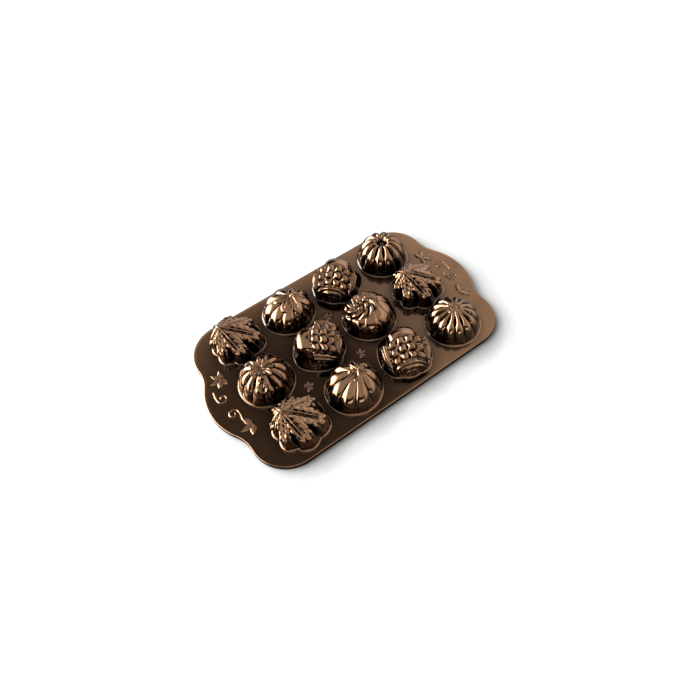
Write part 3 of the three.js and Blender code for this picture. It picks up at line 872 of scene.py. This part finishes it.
def maths(tree, operation, first, second, place):
    node = add_node(tree, "ShaderNodeMath", place, operation=operation)
    for socket, value in zip(node.inputs, (first, second)):
        if isinstance(value, bpy.types.NodeSocket):
            tree.links.new(value, socket)
        else:
            socket.default_value = value
    return node.outputs[0]


def noise(tree, spot, scale, detail, place):
    node = add_node(tree, "ShaderNodeTexNoise", place, {"Vector": spot, "Scale": scale, "Detail": detail})
    return node.outputs["Fac"]


def bronze_coat():
    """Glossy bronze coat over a casting: slightly uneven, with cloudy colour and a faint orange peel.
    Painted shade darkens it where the surface is shut in.
    """
    material = bpy.data.materials.new("bronze_coat")
    material.use_nodes = True
    tree = material.node_tree
    shader = tree.nodes["Principled BSDF"]
    spot = add_node(tree, "ShaderNodeTexCoord", (-1000, 0)).outputs["Object"]
    tint = add_node(tree, "ShaderNodeValToRGB", (-550, 250),
                    {"Fac": noise(tree, spot, CLOUD_SCALE, 4, (-800, 200))})
    for element, position, colour in zip(tint.color_ramp.elements, NOISE_RANGE, (COAT_DARK, COAT_LIGHT)):
        element.position = position
        element.color = (*colour, 1)
    rough = add_node(tree, "ShaderNodeMapRange", (-550, -50),
                     {"Value": noise(tree, spot, GRAIN_SCALE, 5, (-800, -100)),
                      "From Min": NOISE_RANGE[0], "From Max": NOISE_RANGE[1],
                      "To Min": COAT_ROUGHNESS[0], "To Max": COAT_ROUGHNESS[1]})
    peel = add_node(tree, "ShaderNodeBump", (-550, -350),
                    {"Height": noise(tree, spot, PEEL_SCALE, 2, (-800, -400)),
                     "Strength": PEEL_STRENGTH, "Distance": PEEL_HEIGHT})
    # Painted shade: ambient occlusion darkens the coat's colour between and low on the cups.
    openness = add_node(tree, "ShaderNodeAmbientOcclusion", (-800, 550), {"Distance": PAINTED_SHADE_REACH},
                        samples=8)
    unshaded_share = smooth_mask(tree, openness.outputs["AO"], PAINTED_SHADE_EDGE, (-550, 550))
    coat_with_painted_shade = add_node(tree, "ShaderNodeMix", (-300, 350),
                           {"Factor": unshaded_share, 6: (*PAINTED_SHADE_COLOUR, 1), 7: tint.outputs["Color"]},
                           data_type="RGBA")
    tree.links.new(coat_with_painted_shade.outputs[2], shader.inputs["Base Color"])
    tree.links.new(rough.outputs["Result"], shader.inputs["Roughness"])
    tree.links.new(peel.outputs["Normal"], shader.inputs["Normal"])
    shader.inputs["Metallic"].default_value = 1
    shader.inputs["Coat Weight"].default_value = CLEAR_COAT
    shader.inputs["Coat Roughness"].default_value = CLEAR_COAT_ROUGHNESS
    return material


# Studio

def toward(tree, spot, direction, place):
    """How far a place or a direction lies a given way."""
    dot = add_node(tree, "ShaderNodeVectorMath", place, operation="DOT_PRODUCT")
    tree.links.new(spot, dot.inputs[0])
    dot.inputs[1].default_value = direction
    return dot.outputs["Value"]


def dome_level(tree, spot, height):
    """The dome, with its unlit gap."""
    gap = smooth_mask(tree, toward(tree, spot, GAP_DIRECTION, (-1400, 300)), GAP_EDGE, (-1200, 300))
    taken = maths(tree, "MULTIPLY", gap, GAP_DEPTH * DOME_LEVEL, (-1000, 300))
    left = maths(tree, "SUBTRACT", DOME_LEVEL, taken, (-800, 300))
    return maths(tree, "MULTIPLY", left, smooth_mask(tree, height, DOME_EDGE, (-1200, 100)), (-600, 300))


def low_light_level(tree, spot, height, low_light, y):
    """One low light: a patch that way round and between those heights."""
    direction, side_edge, rise, fade, strength = low_light
    side = smooth_mask(tree, toward(tree, spot, direction, (-1400, y)), side_edge, (-1200, y))
    above = smooth_mask(tree, height, rise, (-1200, y - 130))
    below = smooth_mask(tree, height, fade, (-1200, y - 260))
    band = maths(tree, "MULTIPLY", above, below, (-1000, y - 130))
    patch = maths(tree, "MULTIPLY", side, band, (-900, y))
    return maths(tree, "MULTIPLY", patch, strength, (-800, y))


def add_world():
    """White to the camera. To all else, a dome with an unlit gap, low lights and a dark room."""
    world = bpy.data.worlds.new("studio")
    bpy.context.scene.world = world
    world.use_nodes = True
    tree = world.node_tree
    tree.nodes.clear()
    spot = add_node(tree, "ShaderNodeTexCoord", (-1600, 0)).outputs["Generated"]
    height = toward(tree, spot, (0, 0, 1), (-1400, 0))
    level = dome_level(tree, spot, height)
    for order, low_light in enumerate(LOW_LIGHTS):
        y = -400 * (order + 1)
        level = maths(tree, "ADD", level, low_light_level(tree, spot, height, low_light, y), (-600, y))
    level = maths(tree, "ADD", level, ROOM_LEVEL, (-300, 0))
    room = add_node(tree, "ShaderNodeBackground", (0, 100), {"Color": (*ROOM_COLOUR, 1), "Strength": level})
    white = add_node(tree, "ShaderNodeBackground", (0, -100), {"Color": (1, 1, 1, 1), "Strength": 1})
    rays = add_node(tree, "ShaderNodeLightPath", (0, 400))
    mix = add_node(tree, "ShaderNodeMixShader", (250, 0),
                   {"Fac": rays.outputs["Is Camera Ray"], 1: room.outputs[0], 2: white.outputs[0]})
    add_node(tree, "ShaderNodeOutputWorld", (450, 0), {"Surface": mix.outputs[0]})


def floor_gloss(tree):
    """How bright the table glows to the metal: its even level, with painted pools of light added."""
    spot = add_node(tree, "ShaderNodeTexCoord", (-1000, -400)).outputs["Object"]
    level = FLOOR_GLOSS
    for order, (direction, edge, strength) in enumerate(PAINTED_FLOOR_LIGHTS):
        y = -800 - 200 * order
        painted_pool = smooth_mask(tree, toward(tree, spot, direction, (-800, y)), edge, (-600, y))
        level = maths(tree, "ADD", level, maths(tree, "MULTIPLY", painted_pool, strength, (-400, y)), (-200, y))
    return level


def painted_floor_shadow(tree):
    """A painted shadow: 1 on the open table, falling toward the pan on its shadow's side: the share of open
    air, deepened.
    """
    lean = add_node(tree, "ShaderNodeCombineXYZ", (-800, -600), dict(zip("XYZ", SHADE_LEAN)))
    open_air = add_node(tree, "ShaderNodeAmbientOcclusion", (-600, -600),
                        {"Distance": SHADE_REACH, "Normal": lean.outputs[0]})
    unshadowed_share = add_node(tree, "ShaderNodeMapRange", (-450, -600),
                          {"Value": open_air.outputs["AO"],
                           "From Min": SHADE_EDGE[0], "From Max": SHADE_EDGE[1]})
    return maths(tree, "POWER", unshadowed_share.outputs["Result"], SHADE_DEPTH, (-300, -600))


def table_paper():
    """Paper that glows white to the camera and in painted pools of light to the metal, with a painted
    shadow near the pan.
    """
    material = bpy.data.materials.new("table_paper")
    material.use_nodes = True
    tree = material.node_tree
    tree.nodes.clear()
    paper = add_node(tree, "ShaderNodeBsdfDiffuse", (0, 0), {"Color": (*PAPER_COLOUR, 1)})
    rays = add_node(tree, "ShaderNodeLightPath", (-600, -200))
    to_camera = maths(tree, "MULTIPLY", rays.outputs["Is Camera Ray"], FLOOR_GLOW, (-400, -200))
    to_metal = maths(tree, "MULTIPLY", rays.outputs["Is Glossy Ray"], floor_gloss(tree), (-300, -400))
    to_both = maths(tree, "ADD", to_camera, to_metal, (-200, -300))
    # Painted shadow: the table's glow is dimmed near the pan.
    strength = maths(tree, "MULTIPLY", to_both, painted_floor_shadow(tree), (-50, -300))
    glow = add_node(tree, "ShaderNodeEmission", (0, -200), {"Color": (1, 1, 1, 1), "Strength": strength})
    both = add_node(tree, "ShaderNodeAddShader", (250, 0), {0: paper.outputs[0], 1: glow.outputs[0]})
    add_node(tree, "ShaderNodeOutputMaterial", (450, 0), {"Surface": both.outputs[0]})
    return material


def add_floor():
    mesh = bpy.data.meshes.new("table")
    side = FLOOR_SIDE / 2
    corners = [(-side, -side, 0), (side, -side, 0), (side, side, 0), (-side, side, 0)]
    mesh.from_pydata(corners, [], [(0, 1, 2, 3)])
    mesh.materials.append(table_paper())
    table = bpy.data.objects.new("table", mesh)
    bpy.context.collection.objects.link(table)


def finish_piece(piece, node, material):
    piece.data.materials.append(material)
    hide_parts(node)
    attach(piece, "root")


add_camera()
coat = bronze_coat()
finish_piece(make_deck(), "deck_plate", coat)
finish_piece(make_rim(), "rim_lip", coat)
for cup_name, cup_column, cup_row, cup_motif, cup_facing in CUPS:
    finish_piece(make_cup(cup_name, cup_column, cup_row, cup_motif, cup_facing), cup_name, coat)
for relief_name, relief in make_reliefs():
    finish_piece(relief, relief_name, coat)

add_world()
add_floor()
bpy.context.scene.view_settings.view_transform = "Standard"
